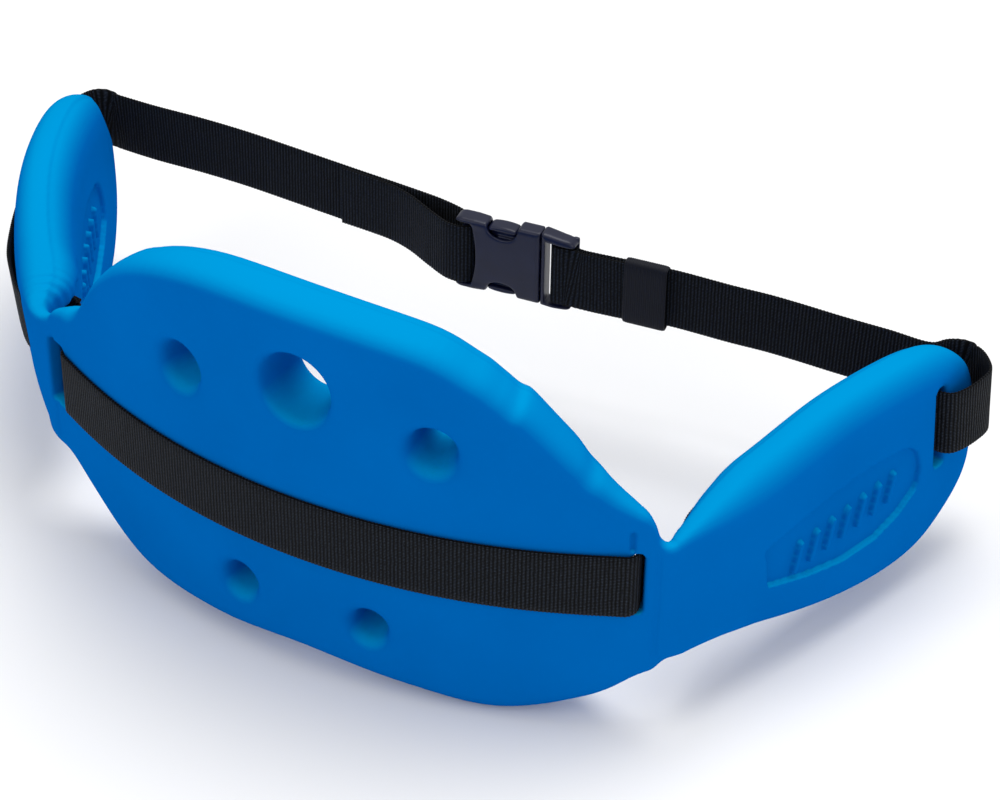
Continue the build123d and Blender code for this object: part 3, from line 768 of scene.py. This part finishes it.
def strap_rows(stretches):
    """Evenly spaced rows along the whole strap, and the row where each stretch starts.

    A row is a place, the up vector and the outward side.
    """
    p = np.array([point for _, points in stretches for point in points])
    p = np.vstack([2 * p[0] - p[1], p, 2 * p[-1] - p[-2]])
    painted_crest_highlight = np.concatenate([[0], np.cumsum(np.sqrt(np.linalg.norm(np.diff(p[:, :3], axis=0), axis=1)))])
    dense, starts = [], []
    for i in range(1, len(p) - 2):
        t0, t1, t2, t3 = painted_crest_highlight[i - 1:i + 3]
        t = np.linspace(t1, t2, 40, endpoint=False)[:, None]
        a1 = (p[i - 1] * (t1 - t) + p[i] * (t - t0)) / (t1 - t0)
        a2 = (p[i] * (t2 - t) + p[i + 1] * (t - t1)) / (t2 - t1)
        a3 = (p[i + 1] * (t3 - t) + p[i + 2] * (t - t2)) / (t3 - t2)
        b1 = (a1 * (t2 - t) + a2 * (t - t0)) / (t2 - t0)
        b2 = (a2 * (t3 - t) + a3 * (t - t1)) / (t3 - t1)
        dense.append((b1 * (t2 - t) + b2 * (t - t1)) / (t2 - t1))
    dense = np.vstack(dense + [p[-2:-1]])
    length = np.concatenate([[0], np.cumsum(np.linalg.norm(np.diff(dense[:, :3], axis=0), axis=1))])
    count = 0
    for _, points in stretches:
        starts.append(int(round(length[40 * count] / ROW_STEP)))
        count += len(points)
    places = np.arange(0, length[-1], ROW_STEP)
    starts.append(len(places) - 1)
    rows = np.stack([np.interp(places, length, column) for column in dense.T], axis=1)
    place, up = blur(rows[:, :3], 3), blur(rows[:, 3:], 40)
    along = np.gradient(place, axis=0)
    along /= np.linalg.norm(along, axis=1)[:, None]
    up -= along * np.sum(up * along, axis=1)[:, None]
    up /= np.linalg.norm(up, axis=1)[:, None]
    return np.hstack([place, up, np.cross(along, up)]), starts


def strap_section():
    """Points round the webbing's section: across the strap, and out of it, as shares of its half sizes."""
    across = np.linspace(-0.975, 0.975, 9)
    edge = [(0.992, 0.62), (1.0, 0.0), (0.992, -0.62)]
    ring = [(v, 1.0) for v in across] + edge + [(-v, -1.0) for v in across] + [(-v, -w) for v, w in edge]
    return np.array(ring)


def loft(name, rings, uvs, material, closed_ends=True):
    """Quads between rings of points (rows x points x values), with the strap's UV on them."""
    rows, points = rings.shape[:2]
    index = np.arange(rows * points).reshape(rows, points)
    ahead = np.roll(index, -1, axis=1)
    quads = np.stack([index[:-1], index[1:], ahead[1:], ahead[:-1]], axis=-1).reshape(-1, 4)
    faces = [tuple(quad) for quad in quads.tolist()]
    if closed_ends:
        faces += [tuple(index[0].tolist()), tuple(index[-1, ::-1].tolist())]
    piece = link_mesh(name, (rings.reshape(-1, 3) * MM).tolist(), faces, material)
    layer = piece.data.uv_layers.new(name="strap")
    corner = np.zeros(len(piece.data.loops), np.int32)
    piece.data.loops.foreach_get("vertex_index", corner)
    layer.data.foreach_set("uv", (uvs.reshape(-1, 2)[corner] * MM).ravel())
    return piece


def ribbon(name, rows, first):
    """One stretch of webbing, with its ribs raised in the mesh. first is the number of its first row."""
    section = strap_section()
    along = (np.arange(len(rows)) + first) * ROW_STEP
    rib = 0.5 + 0.5 * np.cos(2 * math.pi * along / RIB_PITCH)
    half = STRAP_THICK / 2 - 0.2 * (1 - rib)
    width = STRAP_HALF - 0.18 * (1 - rib)
    across = section[None, :, 0] * width[:, None]
    out = section[None, :, 1] * half[:, None]
    rings = rows[:, None, :3] + rows[:, None, 3:6] * across[..., None] + rows[:, None, 6:] * out[..., None]
    uvs = np.stack([np.repeat(along[:, None], len(section), axis=1), across], axis=-1)
    piece = loft(name, rings, uvs, webbing)
    return piece


STRAP = {
    # piece: CAD nodes that it stands for, body, second body where it bends
    "webbing_sewn_end": (["left_loop_webbing"], "centre", None),
    "webbing_left_back": (["left_back_webbing"], "centre", "left_wing"),
    "webbing_left_wing": (["left_tip_webbing", "left_wing_webbing"], "left_wing", None),
    "webbing_left_crossing": (["left_crossing_webbing"], "left_wing", "centre"),
    "webbing_front": (["front_webbing"], "centre", None),
    "webbing_right_crossing": (["right_crossing_webbing"], "centre", "right_wing"),
    "webbing_right_wing": (["right_wing_webbing", "right_tip_webbing"], "right_wing", None),
    "webbing_right_back_end": (["right_back_end_webbing"], "right_wing", "centre"),
    "webbing_right_back": (["right_back_webbing"], "centre", "male_half"),
    "webbing_tail": (["right_end_webbing", "tail_webbing"], "male_half", None),
}


def add_webbing():
    stretches = strap_stretches()
    rows, starts = strap_rows(stretches)
    for (name, _), first, last in zip(stretches, starts, starts[1:]):
        nodes, body, other = STRAP[name]
        part = rows[first:last + 1]
        piece = ribbon(name, part, first)
        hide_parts(*nodes)
        if other is None:
            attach(piece, body)
        else:
            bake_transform(piece)
    return rows


def capsule(start, end, radius, sides=8):
    """Vertices and faces of a short thread lying between two places."""
    axis = (end - start) / np.linalg.norm(end - start)
    side = np.cross(axis, UP)
    side = side / np.linalg.norm(side) if np.linalg.norm(side) > 0.1 else BUCKLE_ALONG
    other = np.cross(axis, side)
    rings = []
    profile = [(-0.16, 0.25), (-0.06, 0.75), (0.08, 1), (0.5, 1.12), (0.92, 1), (1.06, 0.75), (1.16, 0.25)]
    for share, size in profile:
        middle = start + (end - start) * share
        angles = np.arange(sides) * 2 * math.pi / sides
        rings.append([middle + (side * math.cos(a) + other * math.sin(a)) * radius * size for a in angles])
    faces = []
    for row in range(len(rings) - 1):
        for k in range(sides):
            here, there = row * sides, (row + 1) * sides
            faces.append((here + k, there + k, there + (k + 1) % sides, here + (k + 1) % sides))
    last = (len(rings) - 1) * sides
    faces += [tuple(range(sides)), tuple(last + k for k in reversed(range(sides)))]
    return np.array(rings).reshape(-1, 3), faces


def add_stitching(rows):
    """The stitches that hold the short end to the strap: a rectangle with a cross in it."""
    first, last = 6.0, 34.0                         # along the strap from its sewn end
    high = 14.5
    corners = [(first, -high), (last, -high), (last, high), (first, high), (first, -high)]
    lines = list(zip(corners, corners[1:]))
    lines += [((first, -high), (last, high)), ((first, high), (last, -high))]
    vertices, faces = [], []
    for start, end in lines:
        start, end = np.array(start), np.array(end)
        count = int(np.linalg.norm(end - start) / 3.4)
        for index in range(count):
            ends = []
            for share in ((index + 0.14) / count, (index + 0.86) / count):
                along, across = start + (end - start) * share
                row = rows[int(round(along / ROW_STEP))]
                ends.append(row[:3] + row[3:6] * across - row[6:] * (STRAP_THICK / 2 + 0.12))
            points, quads = capsule(ends[0], ends[1], 0.36)
            faces += [tuple(k + sum(len(v) for v in vertices) for k in quad) for quad in quads]
            vertices.append(points)
    piece = link_mesh("bar_tack_thread", (np.vstack(vertices) * MM).tolist(), faces, thread_material)
    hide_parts("bar_tack_stitching")
    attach(piece, "centre")


strap = add_webbing()
add_stitching(strap)


# ---------------------------------------------------------------- buckle

BUCKLE_VOXEL = 0.4
FEMALE_REAR, FEMALE_MOUTH = -37.0, 14.3
MALE_FRONT, MALE_REAR = 14.6, 34.6
HALF_HEIGHT, HALF_DEPTH = 21.5, 5.5


# how much further the buckle reaches up, and down, by the place along it
TOP_RISE = ((-37, -17, -15, 0, 2, 14, 16, 26, 34), (2.2, 2.2, 2.8, 2.8, 3.8, 3.8, 4.2, 2.6, 2.0))
FOOT_DROP = ((-37, 14, 22, 34), (0, 0.3, 1.6, 1.8))


def buckle_piece(name, field, low, node, body):
    """Meshes a field given in the buckle's own axes (along, up, towards the front) and puts it in place."""
    points, quads = mesh_field(field, low, BUCKLE_VOXEL)
    share = points[:, 1] / 20
    rise = np.interp(points[:, 0], *TOP_RISE) * np.clip(share, 0, 1)
    drop = np.interp(points[:, 0], *FOOT_DROP) * np.clip(-share, 0, 1)
    points[:, 1] += rise - drop
    world = BUCKLE_CENTRE + points[:, :1] * BUCKLE_ALONG + points[:, 1:2] * UP + points[:, 2:3] * BUCKLE_OUT
    piece = link_mesh(name, (world * MM).tolist(), quads.tolist(), buckle_plastic)
    bm = bmesh.new()
    bm.from_mesh(piece.data)
    bmesh.ops.recalc_face_normals(bm, faces=bm.faces[:])
    bm.to_mesh(piece.data)
    bm.free()
    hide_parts(node)
    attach(piece, body)
    return piece


def add_female_half():
    low = (FEMALE_REAR - 2, -24.5, -8.0)
    x, z, y = grid_axes(low, (FEMALE_MOUTH + 2, 24.5, 8.0), BUCKLE_VOXEL)
    height, depth = np.abs(z), np.abs(y)
    swell = np.clip((-x - 17) / 8, 0, 1) * np.clip((height - 16) / 4, 0, 1)
    body = smooth_max(slab(x, FEMALE_REAR, 60), height - HALF_HEIGHT - 0.5 * swell, 5.0)
    body = smooth_max(body, x - FEMALE_MOUTH, 1.0)
    body = smooth_max(body, depth - HALF_DEPTH - 0.4 * swell, 3.0)
    window = ((np.abs(x + 8.4) / 9.2) ** 2.4 + (np.maximum(22 - height, 0) / 8.4) ** 2.4 + 1e-9) ** (1 / 2.4)
    body = carve(body, (window - 1) * 7.0, 1.2)
    rear_edge = -24.0 - 2.6 * (z / 19) ** 2
    body = carve(body, smooth_max(x - rear_edge, height - 19.3, 2.0), 1.2)
    bar = smooth_max(slab(x, -32.6, -28.8), smooth_max(depth - 1.7, height - 20.0, 0.4), 1.4)
    body = smooth_min(body, bar, 0.8)
    socket = np.maximum(np.maximum(-20 - x, height - 19.0), depth - 3.2)
    body = carve(body, socket, 0.8)
    return buckle_piece("buckle_socket", body, low, "buckle_female", "centre")


def add_male_frame():
    low = (-18.0, -24.0, -8.0)
    x, z, y = grid_axes(low, (MALE_REAR + 2, 24.0, 8.0), BUCKLE_VOXEL)
    height, depth = np.abs(z), np.abs(y)
    taper = np.clip((x - MALE_FRONT) / 20, 0, 1)
    frame_field = smooth_max(slab(x, 0, MALE_REAR), height - HALF_HEIGHT + 0.9 * taper**2, 6.0)
    frame_field = smooth_max(frame_field, MALE_FRONT - x, 0.8)
    frame_field = smooth_max(frame_field, slab(y, -HALF_DEPTH, HALF_DEPTH - 1.5 * taper), 3.0)
    opening = smooth_max(17.0 - x, slab(z, -19.6, 17.4), 1.6)
    frame_field = carve(frame_field, opening, 1.0)
    ladder = smooth_max(slab(x, 22.0, 25.4), smooth_max(depth - 1.5, height - 20.2, 0.4), 1.2)
    rear = smooth_max(slab(x, 31.0, 34.2), smooth_max(slab(y, -5.5, -3.5), height - 20.2, 0.4), 1.0)
    rib = smooth_max(slab(x, -16.0, 16.0), smooth_max(height - 3.0, depth - 2.6, 1.0), 1.6)
    for part in (ladder, rear, rib):
        frame_field = smooth_min(frame_field, part, 0.8)
    return buckle_piece("buckle_plug", frame_field, low, "buckle_male_frame", "male_half")


def add_prong(side, node):
    low = (-19.0, 7.0, -7.0) if side > 0 else (-19.0, -23.0, -7.0)
    x, z, y = grid_axes(low, (17.0, low[1] + 16, 7.0), BUCKLE_VOXEL)
    height, depth = side * z, np.abs(y)
    arm = smooth_max(slab(x, -12.0, 14.4), smooth_max(np.abs(height - 12.5) - 1.7, depth - 2.9, 1.0), 1.2)
    head = smooth_max(slab(x, -16.8, 0.2), smooth_max(slab(height, 10.8, 19.4), depth - 1.4, 0.8), 3.0)
    crown = 20.4 - 0.9 * ((x + 8.3) / 8.5) ** 2
    pad = smooth_max(slab(x, -16.9, 0.2), np.maximum(17.3 - height, height - crown), 1.6)
    pad = smooth_max(pad, depth - 4.9, 2.2)
    field = smooth_min(smooth_min(arm, head, 1.0), pad, 1.0)
    name = "buckle_upper_prong_visible" if side > 0 else "buckle_lower_prong_visible"
    return buckle_piece(name, field, low, node, "upper_prong" if side > 0 else "lower_prong")


def add_keeper():
    """Elastic sleeve round both layers of the strap, slightly pulled in at its two ends."""
    start, end, wall = 63.0, 87.5, 1.2
    half_width, half_gap = 19.5, 2.7
    angles = np.linspace(0, 2 * math.pi, 96, endpoint=False)
    ring_z = np.sign(np.sin(angles)) * np.abs(np.sin(angles)) ** 0.22
    ring_y = np.sign(np.cos(angles)) * np.abs(np.cos(angles)) ** 0.55
    girth = np.concatenate([[0], np.cumsum(np.hypot(np.diff(ring_z) * 20, np.diff(ring_y) * 3))])
    steps = np.arange(start, end + 0.01, 0.25)
    ends = np.clip(np.minimum(steps - start, end - steps) / 3.0, 0, 1)
    swell = wall * (0.55 + 0.45 * np.sqrt(1 - (1 - ends) ** 2)) + 0.07 * np.cos(2 * math.pi * steps / 1.25)
    shells = list(zip(steps, swell)) + [(place, 0.25) for place in steps[::-1]]
    rings, uvs = [], []
    for place, extra in shells + shells[:1]:
        middle = BUCKLE_CENTRE + BUCKLE_ALONG * place - UP * 1.1
        out_z, out_y = ring_z * (half_width + extra), ring_y * (half_gap + extra)
        rings.append(middle + out_z[:, None] * UP + out_y[:, None] * BUCKLE_OUT)
        uvs.append(np.stack([np.full(len(angles), place), girth], axis=-1))
    piece = loft("elastic_keeper", np.array(rings), np.array(uvs), elastic, closed_ends=False)
    bm = bmesh.new()
    bm.from_mesh(piece.data)
    bmesh.ops.remove_doubles(bm, verts=bm.verts[:], dist=1e-6)
    bmesh.ops.recalc_face_normals(bm, faces=bm.faces[:])
    bm.to_mesh(piece.data)
    bm.free()
    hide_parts("strap_keeper")
    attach(piece, "keeper")


add_female_half()
add_male_frame()
add_prong(1, "buckle_upper_prong")
add_prong(-1, "buckle_lower_prong")
add_keeper()


# ---------------------------------------------------------------- floor

def add_floor():
    level = cad_box[0][2] - 0.0005
    half = 6.0
    floor = link_mesh(
        "floor", [(-half, -half, level), (half, -half, level), (half, half, level), (-half, half, level)],
        [(0, 1, 2, 3)], floor_material(), smooth=False,
    )


add_floor()
